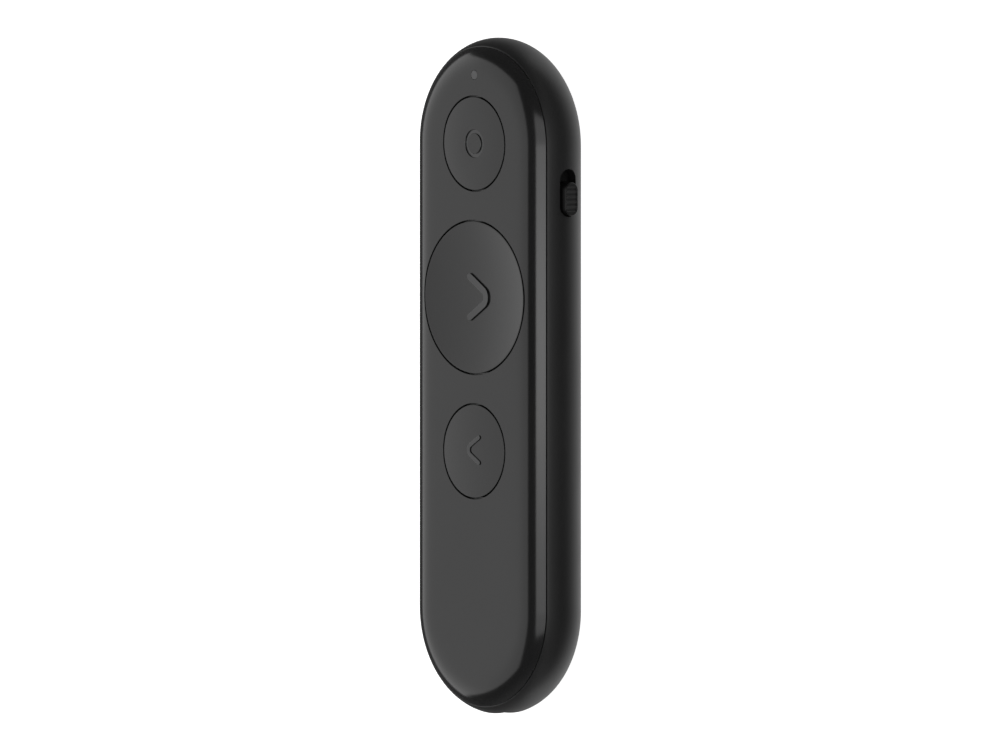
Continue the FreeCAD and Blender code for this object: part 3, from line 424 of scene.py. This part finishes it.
def stadium_prism(half_height, half_length, axis, centre, low, high, steps=24):
    """A cutter of stadium section. axis 0 runs along X with the length along Y, and 1 the other way."""
    bm = bmesh.new()
    outline = []
    for end, start in ((1, -90), (-1, 90)):
        for step in range(steps + 1):
            angle = math.radians(start + 180 * step / steps)
            along = end * (half_length - half_height) + half_height * math.cos(angle)
            outline.append((along, half_height * math.sin(angle)))
    rings = []
    for depth in (low, high):
        ring = []
        for along, up in outline:
            x, y = (depth, centre[0] + along) if axis == 0 else (centre[0] + along, depth)
            ring.append(bm.verts.new((x * MM, y * MM, (centre[1] + up) * MM)))
        rings.append(ring)
    skin(bm, rings)
    bm.faces.new(rings[0])
    bm.faces.new(rings[1])
    return finish_mesh(bm, "cutter")


def carve(piece, cutters):
    """Cut pieces out of a closed mesh, and throw the cutters away."""
    for cutter in cutters:
        modifier = piece.modifiers.new("carve", "BOOLEAN")
        modifier.operation = "DIFFERENCE"
        modifier.solver = "EXACT"
        modifier.object = cutter
    bpy.context.view_layer.update()
    graph = bpy.context.evaluated_depsgraph_get()
    mesh = bpy.data.meshes.new_from_object(piece.evaluated_get(graph))
    piece.modifiers.clear()
    piece.data = mesh
    for cutter in cutters:
        bpy.data.objects.remove(cutter)


def true_normal(spot):
    """Outward direction of the housing's ideal outside at a point near it, or None away from it."""
    x, y, z = spot.x / MM, spot.y / MM, spot.z / MM
    end_y = max(-HALF_SPINE, min(HALF_SPINE, y))
    out = Vector((x, y - end_y, 0))
    r = out.length
    away = Vector((r - FLAT_HALF_WIDTH, z - SIDE_RADIUS))
    if r <= FLAT_HALF_WIDTH:
        if min(abs(z), abs(z - BODY_THICKNESS)) > 0.002:
            return None
    elif abs(away.length - SIDE_RADIUS) > 0.004:
        return None
    if r < 0.01:
        return Vector((0, 0, math.copysign(1, z - SIDE_RADIUS)))
    # The flat runs into the round side without a sudden bend.
    tilt = math.asin(max(-1.0, min(1.0, away.x / SIDE_RADIUS)))
    if abs(z - SIDE_RADIUS) > SIDE_RADIUS * 0.5:
        tilt = 0.5 * (tilt + math.hypot(tilt, EASE))
    out.normalize()
    level = math.copysign(math.cos(tilt), z - SIDE_RADIUS)
    return Vector((out.x * math.sin(tilt), out.y * math.sin(tilt), level))


def set_true_normals(piece):
    """Shade the outside of the housing by its ideal shape, so that reflections run clean."""
    mesh = piece.data
    for polygon in mesh.polygons:
        polygon.use_smooth = True
    mesh.set_sharp_from_angle(angle=math.radians(25))
    ideal = [true_normal(vertex.co) for vertex in mesh.vertices]
    normals = []
    for polygon in mesh.polygons:
        for loop in polygon.loop_indices:
            wanted = ideal[mesh.loops[loop].vertex_index]
            fits = wanted is not None and wanted.dot(polygon.normal) > math.cos(math.radians(9))
            normals.append(wanted if fits else Vector((0, 0, 0)))
    mesh.normals_split_custom_set(normals)


def settle(piece, body, node, materials):
    """Give a piece its materials, and put it in the place of a CAD node on a body."""
    for material in materials:
        piece.data.materials.append(material)
    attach(piece, body)
    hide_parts(node)
    return piece


# Housing

def flared_cutter(radius, centre_y):
    """A round cutter that opens out at the face, so that the edge it leaves is softly rounded."""
    bm = bmesh.new()
    lip = arc(radius + GAP_ROUND, BODY_THICKNESS - GAP_ROUND, GAP_ROUND, -90, 0, 3)
    profile = [(0, BODY_THICKNESS + 0.5), (radius + GAP_ROUND, BODY_THICKNESS + 0.5)]
    profile += list(reversed(lip))
    profile += [(radius, SKIRT_Z - 1), (0, SKIRT_Z - 1)]
    lathe(bm, profile, centre_y)
    return finish_mesh(bm, "cutter")


def front_cover():
    parting_tilt = math.degrees(math.acos((PARTING_Z - SIDE_RADIUS) / SIDE_RADIUS))
    section = [(r, BODY_THICKNESS) for r in (0, 6.0, 8.5, 9.5, 10.3, 11.0, 11.4)]
    section += arc(FLAT_HALF_WIDTH, SIDE_RADIUS, SIDE_RADIUS, 0, parting_tilt, 28)
    edge = len(section) - 1
    section += [
        (SKIRT_OUTER, PARTING_Z), (SKIRT_OUTER, SKIRT_Z), (SKIRT_INNER, SKIRT_Z),
        (SKIRT_INNER, CEILING_Z), (0, CEILING_Z),
    ]
    piece = sweep_housing("front_cover_skin", rounded(section, {edge}, FRONT_EDGE_ROUND))
    cutters = [
        flared_cutter(SMALL_RADIUS + BUTTON_GAP, POINTER_Y),
        flared_cutter(LARGE_RADIUS + BUTTON_GAP, NEXT_Y),
        flared_cutter(SMALL_RADIUS + BUTTON_GAP, BACK_Y),
        flared_cutter(LIGHT_HOLE_RADIUS, LIGHT_Y),
    ]
    carve(piece, cutters)
    bm = bmesh.new()
    bm.from_mesh(piece.data)
    root = 0.3
    for side in (-1, 1):
        for line in (POINTER_Y, NEXT_Y, BACK_Y):
            y = line - BUTTON_PITCH / 2
            rod_mesh(bm, side * STAKE_X, y, STAKE_FOOT_Z, CEILING_Z + root, STAKE_RADIUS)
        inside, outside = sorted((side * (SKIRT_OUTER - root), side * (SKIRT_OUTER + HOOK_REACH)))
        for end in (-1, 1):
            low = (inside, end * HOOK_SPREAD / 2 - HOOK_LENGTH / 2, SKIRT_Z)
            high = (outside, end * HOOK_SPREAD / 2 + HOOK_LENGTH / 2, SKIRT_Z + HOOK_HEIGHT)
            box_mesh(bm, low, high)
    bm.to_mesh(piece.data)
    bm.free()
    settle(piece, "housing", "front_cover", [COVER_BLACK])
    set_true_normals(piece)


def rear_cover():
    rim_tilt = math.degrees(math.acos((RIM_Z - SIDE_RADIUS) / SIDE_RADIUS))
    mouth_tilt = math.degrees(math.acos((RIM_Z - SIDE_RADIUS) / INNER_RADIUS))
    section = [(0, 0), (6.0, 0)]
    section += arc(FLAT_HALF_WIDTH, SIDE_RADIUS, SIDE_RADIUS, 180, rim_tilt, 44)
    edge = len(section) - 1
    section += arc(FLAT_HALF_WIDTH, SIDE_RADIUS, INNER_RADIUS, mouth_tilt, 180, 24)
    section += [(0, SHELL_WALL)]
    piece = sweep_housing("rear_cover_skin", rounded(section, {edge}, REAR_EDGE_ROUND))
    slot = stadium_prism(SLOT_HEIGHT / 2, SLOT_LENGTH / 2, 0, (SLOT_Y, SLOT_Z), 14.0, 19.0)
    mouth = stadium_prism(PORT_MOUTH_HALF_HEIGHT, PORT_MOUTH_HALF_WIDTH, 1, (0, SLOT_Z), -58.0, -53.0)
    bm = bmesh.new()
    low = (-PORT_SEAT_HALF_WIDTH, PORT_FRONT, SLOT_Z - PORT_SEAT_HALF_HEIGHT)
    high = (PORT_SEAT_HALF_WIDTH, PORT_FRONT + PORT_SEAT_DEPTH, SLOT_Z + PORT_SEAT_HALF_HEIGHT)
    box_mesh(bm, low, high)
    carve(piece, [slot, mouth, finish_mesh(bm, "cutter")])
    bm = bmesh.new()
    bm.from_mesh(piece.data)
    for side in (-1, 1):
        for end in (-1, 1):
            screw_post(bm, side * SCREW_X, end * SCREW_Y)
        rod_mesh(bm, side * REST_POST_X, REST_POST_Y, POST_FOOT_Z, BOARD_Z, POST_RADIUS)
    bm.to_mesh(piece.data)
    bm.free()
    settle(piece, "housing", "rear_cover", [SHELL_SATIN])
    set_true_normals(piece)


def screw_post(bm, x, y):
    """A post with a blind bore."""
    profile = [
        (0, POST_FOOT_Z), (POST_RADIUS, POST_FOOT_Z), (POST_RADIUS, BOARD_Z), (BORE_RADIUS, BOARD_Z),
        (BORE_RADIUS, BORE_FLOOR_Z), (0, BORE_FLOOR_Z),
    ]
    start = len(bm.verts)
    lathe(bm, profile, y, 32)
    bm.verts.ensure_lookup_table()
    for vertex in bm.verts[start:]:
        vertex.co.x += x * MM


# Icons

def chevron_line(half_height, half_width, bend):
    """Middle line of a chevron that points to +X: (x, y, across x, across y) with a round bend."""
    reach = 2 * half_width
    from_centre = math.hypot(reach - bend, half_height)
    angle = math.atan2(half_height, reach - bend) - math.asin(bend / from_centre)
    bend_x = half_width - bend
    steps = 14
    line = []
    for sign in (1, -1):
        across = Vector((math.sin(angle), sign * math.cos(angle)))
        tip = Vector((-half_width, sign * half_height))
        touch = Vector((bend_x, 0)) + across * bend
        arm = [(tip.lerp(touch, step / 8), across) for step in range(9)]
        line.append(arm)
    turn = []
    sweep = math.pi / 2 - angle
    for step in range(1, steps):
        direction = sweep * (1 - 2 * step / steps)
        across = Vector((math.cos(direction), math.sin(direction)))
        turn.append((Vector((bend_x, 0)) + across * bend, across))
    return line[0] + turn + list(reversed(line[1]))


def raised_chevron(bm, centre_y, half_height, half_width, stroke, bend, pointing, top, foot):
    """A round-ended ribbon along the chevron. top gives the height of its upper side at x and y."""
    half = stroke / 2
    line = chevron_line(half_height, half_width, bend)
    first, last = line[0], line[-1]
    run_out = (first[0] - line[1][0]).normalized()
    run_back = (last[0] - line[-2][0]).normalized()

    def round_end(end, run, steps):
        result = []
        for step in steps:
            angle = math.pi / 2 * step / 9
            result.append((end[0] + run * half * math.cos(angle), end[1], half * math.sin(angle)))
        return result

    stations = round_end(first, run_out, range(1, 9))
    stations += [(spot, across, half) for spot, across in line]
    stations += round_end(last, run_back, range(8, 0, -1))
    # Each point: its side, how far in from that side in edge widths, and how far down; None is the foot
    shape = [(-1, 0, None), (-1, 0, 1), (-1, 0.3, 0.3), (-1, 1, 0), (-1, 2, 0), (0, 0, 0), (1, 2, 0),
             (1, 1, 0), (1, 0.3, 0.3), (1, 0, 1), (1, 0, None)]
    rings = []
    for spot, across, width in stations:
        ring = []
        for side, inset, drop in shape:
            point = spot + across * side * max(0.0, width - inset * ICON_EDGE)
            x, y = pointing * point.x, centre_y + point.y
            z = foot if drop is None else top(x, y) - drop * ICON_EDGE
            ring.append(bm.verts.new((x * MM, y * MM, z * MM)))
        rings.append(ring)
    skin(bm, rings)
    bm.faces.new(rings[0])
    bm.faces.new(rings[-1])


# Buttons

def cap_profile(radius, top_points):
    """From the middle of the top, over the rounded rim, round the flange and the hollow underside."""
    flange, inner, boss, roof_z = radius + FLANGE_WIDTH, radius - 1.2, 2.4, CAP_Z + 1.0
    side = [(radius, BODY_THICKNESS), (radius, CEILING_Z), (flange, CEILING_Z), (flange, CAP_Z)]
    under = [
        (inner, CAP_Z), (inner, roof_z), (boss, roof_z), (boss, CAP_Z),
        (PIP_RADIUS, CAP_Z), (PIP_RADIUS, PIP_Z), (0, PIP_Z),
    ]
    return rounded(top_points + side, {len(top_points)}, GAP_ROUND) + under


def mark_icon(piece, is_icon):
    for polygon in piece.data.polygons:
        polygon.material_index = 1 if is_icon(polygon) else 0


def pointer_button():
    outer, stroke, depth = 2.33, 0.63, 0.185
    inner = outer - stroke
    floor = BODY_THICKNESS - depth
    lip_z = BODY_THICKNESS - GAP_ROUND
    top = [
        (0, BODY_THICKNESS), (inner - GAP_ROUND, BODY_THICKNESS), (inner, lip_z), (inner, floor),
        (outer, floor), (outer, lip_z), (outer + GAP_ROUND, BODY_THICKNESS),
    ]
    bm = bmesh.new()
    lathe(bm, cap_profile(SMALL_RADIUS, top), POINTER_Y)
    piece = finish_mesh(bm, "pointer_cap", 30)
    settle(piece, "pointer_key", "pointer_button", [COVER_BLACK, ICON_GREY])
    mark_icon(piece, lambda p: abs(p.center.z / MM - floor) < 0.01 and p.normal.z > 0.9)


def back_button():
    bm = bmesh.new()
    lathe(bm, cap_profile(SMALL_RADIUS, [(0, BODY_THICKNESS)]), BACK_Y)
    height = 0.18
    raised_chevron(bm, BACK_Y + 0.22, 2.1, 1.28, 0.72, 1.0, -1,
                   lambda x, y: BODY_THICKNESS + height, BODY_THICKNESS - 0.3)
    piece = finish_mesh(bm, "back_cap", 30)
    settle(piece, "back_key", "back_button", [COVER_BLACK, ICON_GREY])
    mark_icon(piece, lambda p: p.center.z / MM > BODY_THICKNESS + height - ICON_EDGE)


def dish_z(x, y):
    """Height of the next button's dished top."""
    r_squared = x * x + (y - NEXT_Y) ** 2
    return BODY_THICKNESS - DISH_DEPTH + DISH_RADIUS - math.sqrt(DISH_RADIUS ** 2 - r_squared)


def next_button():
    top = [(r, dish_z(r, NEXT_Y)) for r in [LARGE_RADIUS * step / 32 for step in range(32)]]
    side = [(LARGE_RADIUS, BODY_THICKNESS), (LARGE_RADIUS, CAP_Z)]
    profile = rounded(top + side, {len(top)}, GAP_ROUND)
    profile += [(PIP_RADIUS, CAP_Z), (PIP_RADIUS, PIP_Z), (0, PIP_Z)]
    bm = bmesh.new()
    lathe(bm, profile, NEXT_Y, 200)
    reach = LARGE_RADIUS + FLANGE_WIDTH
    ear_half_width, ear_height = 4, 0.9
    low = (-ear_half_width, NEXT_Y - reach, CAP_Z)
    high = (ear_half_width, NEXT_Y + reach, CAP_Z + ear_height)
    box_mesh(bm, low, high)
    height = 0.3
    raised_chevron(bm, NEXT_Y, 3.35, 2.03, 1.18, 1.36, 1,
                   lambda x, y: dish_z(x, y) + height, BODY_THICKNESS - DISH_DEPTH - 0.2)
    piece = finish_mesh(bm, "next_cap", 30)
    settle(piece, "next_key", "next_button", [COVER_BLACK, ICON_GREY])

    def on_icon(polygon):
        centre = polygon.center / MM
        return centre.z > dish_z(centre.x, centre.y) + height - ICON_EDGE and abs(centre.x) < 4

    mark_icon(piece, on_icon)


# Power switch

def power_knob():
    """The knob as a relief over a stadium: rounded rim and five scoops across, with its plate behind."""
    half_height, half_length = 1.34, 2.8
    straight = half_length - half_height
    rim, scoop_depth, scoop_half, scoop_pitch, fade = 0.19, 0.17, 0.41, 0.85, 0.08
    columns, rows = 240, 40
    foot = KNOB_FACE - 3.4
    plate_low, plate_high, plate_half_length, plate_half_height = 14.6, 15.3, 5.325, 2
    scoops = [(number - 2) * scoop_pitch for number in range(5)]

    def half_width_at(along):
        over = max(0.0, abs(along) - straight)
        return math.sqrt(max(half_height ** 2 - over ** 2, 1e-6))

    def relief(along, up):
        over = max(0.0, abs(along) - straight)
        inside = half_height - math.hypot(over, up)
        drop = 0.0
        if inside < rim:
            drop = rim * (1 - math.sqrt(max(0.0, 1 - (1 - inside / rim) ** 2)))
        for middle in scoops:
            share = (along - middle) / scoop_half
            if abs(share) < 1 and inside > rim:
                # Each scoop is deeper towards its lower side.
                scoop = scoop_depth * (1 - share ** 2) * (1 - 0.4 * share)
                drop += scoop * min(1.0, (inside - rim) / fade)
        return drop

    bm = bmesh.new()
    rings = []
    for column in range(1, columns):
        along = -half_length * math.cos(math.pi * column / columns)
        width = half_width_at(along)
        ring = [bm.verts.new((foot * MM, (KNOB_Y + along) * MM, (SLOT_Z - width) * MM))]
        for row in range(rows + 1):
            up = -width * math.cos(math.pi * row / rows)
            x = KNOB_FACE - relief(along, up)
            ring.append(bm.verts.new((x * MM, (KNOB_Y + along) * MM, (SLOT_Z + up) * MM)))
        ring.append(bm.verts.new((foot * MM, (KNOB_Y + along) * MM, (SLOT_Z + width) * MM)))
        rings.append(ring)
    skin(bm, rings)
    bm.faces.new(rings[0])
    bm.faces.new(rings[-1])
    box_mesh(bm, (plate_low, KNOB_Y - plate_half_length, SLOT_Z - plate_half_height),
             (plate_high, KNOB_Y + plate_half_length, SLOT_Z + plate_half_height))
    piece = finish_mesh(bm, "power_knob_skin", 40)
    settle(piece, "power_knob", "power_slider", [KNOB_MATT, INNER_BLACK])
    for polygon in piece.data.polygons:
        polygon.material_index = 1 if polygon.center.x < (plate_high + 0.05) * MM else 0


front_cover()
rear_cover()
pointer_button()
next_button()
back_button()
power_knob()


# Camera: the photograph has no visible perspective, so it is an orthographic one

CAMERA_TURN = math.radians(49.7)
CAMERA_RISE = math.radians(2.6)
MM_PER_PIXEL = 0.16605
IMAGE_WIDTH = 1000
CAMERA_DISTANCE = 0.6
FACE_RIGHT_OF_VIEW_CENTRE = -25.85
FACE_ABOVE_VIEW_CENTRE = -1.95

towards = Vector((
    math.sin(CAMERA_TURN) * math.cos(CAMERA_RISE), math.sin(CAMERA_RISE),
    math.cos(CAMERA_TURN) * math.cos(CAMERA_RISE),
))
right = Vector((math.cos(CAMERA_TURN), 0, -math.sin(CAMERA_TURN)))
up = towards.cross(right)
face_middle = Vector((0, 0, BODY_THICKNESS * MM))
target = face_middle - right * (FACE_RIGHT_OF_VIEW_CENTRE * MM_PER_PIXEL * MM)
target -= up * (FACE_ABOVE_VIEW_CENTRE * MM_PER_PIXEL * MM)
camera_data = bpy.data.cameras.new("camera")
camera_data.type = "ORTHO"
camera_data.ortho_scale = IMAGE_WIDTH * MM_PER_PIXEL * MM
camera_data.clip_start = 0.01
camera_data.clip_end = 10
camera = bpy.data.objects.new("camera", camera_data)
bpy.context.scene.collection.objects.link(camera)
camera_turn = Matrix((right, up, towards)).transposed().to_4x4()
camera.matrix_world = Matrix.Translation(target + towards * CAMERA_DISTANCE) @ camera_turn
bpy.context.scene.camera = camera
bpy.context.scene.view_settings.view_transform = "Standard"


# Surroundings: brightness by the direction's angle from straight up, positive towards the switch side

SURROUND = [
    (-180, 1.0), (-170, 1.0), (-160, 0.9), (-150, 0.75), (-140, 0.5), (-110, 0.1), (-90, 0.09), (0, 0.09),
    (46, 0.1), (54, 0.35), (66, 0.36), (75, 0.33), (84, 0.22), (92, 0.15), (102, 0.11), (112, 0.08),
    (126, 0.2), (138, 0.38), (160, 0.95), (180, 1.0),
]
LEFT_PANEL = (-84.5, -14.5)
LEFT_PANEL_REACH = 0.59
LEFT_PANEL_BRIGHTNESS = [(-84.5, 1.22), (-66, 1.2), (-58, 1.14), (-50, 1.05), (-14.5, 1.05)]


def angle_ramp(tree, share, stops):
    """Brightness by angle in degrees, straight from stop to stop."""
    ramp = add(tree, "ValToRGB")
    tree.links.new(share, ramp.inputs["Fac"])
    elements = ramp.color_ramp.elements
    elements.remove(elements[-1])
    for number, (degrees, brightness) in enumerate(stops):
        position = (degrees + 180) / 360
        stop = elements[0] if number == 0 else elements.new(position)
        stop.position = position
        stop.color = (brightness, brightness, brightness, 1)
    return ramp.outputs["Color"]


def build_world():
    """A white panel on the left of the face, dark flaps round it, a pale lower half and a dim end."""
    world = bpy.data.worlds.new("studio")
    bpy.context.scene.world = world
    world.use_nodes = True
    tree = world.node_tree
    split = add(tree, "SeparateXYZ")
    tree.links.new(add(tree, "TexCoord").outputs["Generated"], split.inputs[0])
    angle = maths(tree, "ARCTAN2", split.outputs["X"], split.outputs["Z"])
    degrees = maths(tree, "MULTIPLY", angle, 180 / math.pi)
    share = maths(tree, "DIVIDE", maths(tree, "ADD", degrees, 180.0), 360.0)
    level = maths(tree, "POWER", split.outputs["Y"], 2.0)
    across = maths(tree, "SQRT", maths(tree, "SUBTRACT", 1.0, level, clamp=True))
    slope = maths(tree, "DIVIDE", split.outputs["Y"], across)
    half = (LEFT_PANEL[1] - LEFT_PANEL[0]) / 2
    middle = (LEFT_PANEL[1] + LEFT_PANEL[0]) / 2
    offset = maths(tree, "ABSOLUTE", maths(tree, "SUBTRACT", degrees, middle))
    in_angle = remap(tree, offset, half - 1.5, half + 1.5, 1.0, 0.0)
    in_reach = remap(tree, maths(tree, "ABSOLUTE", slope),
                     LEFT_PANEL_REACH - 0.02, LEFT_PANEL_REACH + 0.02, 1.0, 0.0)
    panel = maths(tree, "MULTIPLY", in_angle, in_reach)
    mix = add(tree, "Mix", data_type="RGBA")
    tree.links.new(panel, mix.inputs["Factor"])
    tree.links.new(angle_ramp(tree, share, SURROUND), mix.inputs["A"])
    tree.links.new(angle_ramp(tree, share, LEFT_PANEL_BRIGHTNESS), mix.inputs["B"])
    glow = remap(tree, slope, -0.8, -2.0, 0.0, 0.14)
    lift = add(tree, "Mix", data_type="RGBA", blend_type="ADD")
    lift.inputs["Factor"].default_value = 1.0
    tree.links.new(mix.outputs["Result"], lift.inputs["A"])
    tree.links.new(glow, lift.inputs["B"])
    tree.links.new(lift.outputs["Result"], tree.nodes["Background"].inputs["Color"])


def soft_panel(name, tilt, along, distance, width, length, radiance, hot, hot_middle, hot_half,
               corner):
    """A light with round corners that faces the object from the switch side, with a soft hot middle."""
    light = bpy.data.lights.new(name, "AREA")
    light.shape = "RECTANGLE"
    light.size = width
    light.size_y = length
    area = width * length
    # A one watt area light of one square metre has a radiance of 1 / pi.
    light.energy = area * math.pi
    light.use_nodes = True
    tree = light.node_tree
    emission = tree.nodes["Emission"]
    place = add(tree, "SeparateXYZ")
    tree.links.new(add(tree, "NewGeometry").outputs["Parametric"], place.inputs[0])
    outside = []
    for axis, size in (("X", width), ("Y", length)):
        offset = maths(tree, "MULTIPLY", maths(tree, "SUBTRACT", place.outputs[axis], 0.5), size)
        distance_out = maths(tree, "ABSOLUTE", offset)
        beyond = maths(tree, "MAXIMUM", maths(tree, "SUBTRACT", distance_out, size / 2 - corner), 0.0)
        outside.append(maths(tree, "POWER", beyond, 2.0))
    from_hot = maths(tree, "ABSOLUTE", maths(tree, "SUBTRACT", offset, hot_middle))
    glow = remap(tree, from_hot, 0.0, hot_half, radiance + hot, radiance)
    spread = maths(tree, "SQRT", maths(tree, "ADD", outside[0], outside[1]))
    inside = remap(tree, spread, corner * 0.8, corner, 1.0, 0.0)
    tree.links.new(maths(tree, "MULTIPLY", glow, inside), emission.inputs["Strength"])
    panel = bpy.data.objects.new(name, light)
    bpy.context.scene.collection.objects.link(panel)
    away = Vector((math.sin(math.radians(tilt)), 0, math.cos(math.radians(tilt))))
    side = Vector((math.cos(math.radians(tilt)), 0, -math.sin(math.radians(tilt))))
    back = Vector((0, 1, 0))
    turn = Matrix((side, back, away)).transposed().to_4x4()
    panel.matrix_world = Matrix.Translation(away * distance + back * along) @ turn


def pale_floor():
    """A wide flat sheet, lit from within, as on a light table."""
    bm = bmesh.new()
    bmesh.ops.create_grid(bm, x_segments=8, y_segments=8, size=3.0)
    floor = finish_mesh(bm, "floor")
    material = bpy.data.materials.new("pale_floor")
    material.use_nodes = True
    shader = material.node_tree.nodes["Principled BSDF"]
    shader.inputs["Base Color"].default_value = (0.9, 0.9, 0.9, 1)
    shader.inputs["Roughness"].default_value = 0.9
    shader.inputs["Specular IOR Level"].default_value = 0.0
    shader.inputs["Emission Color"].default_value = (1, 1, 1, 1)
    shader.inputs["Emission Strength"].default_value = 1.0
    floor.data.materials.append(material)
    floor.visible_glossy = False
    floor.visible_shadow = False


build_world()
soft_panel("right_softbox", tilt=34, along=0.006, distance=0.30, width=0.198, length=0.325,
           radiance=1.33, hot=2.05, hot_middle=-0.0105, hot_half=0.055, corner=0.055)
pale_floor()
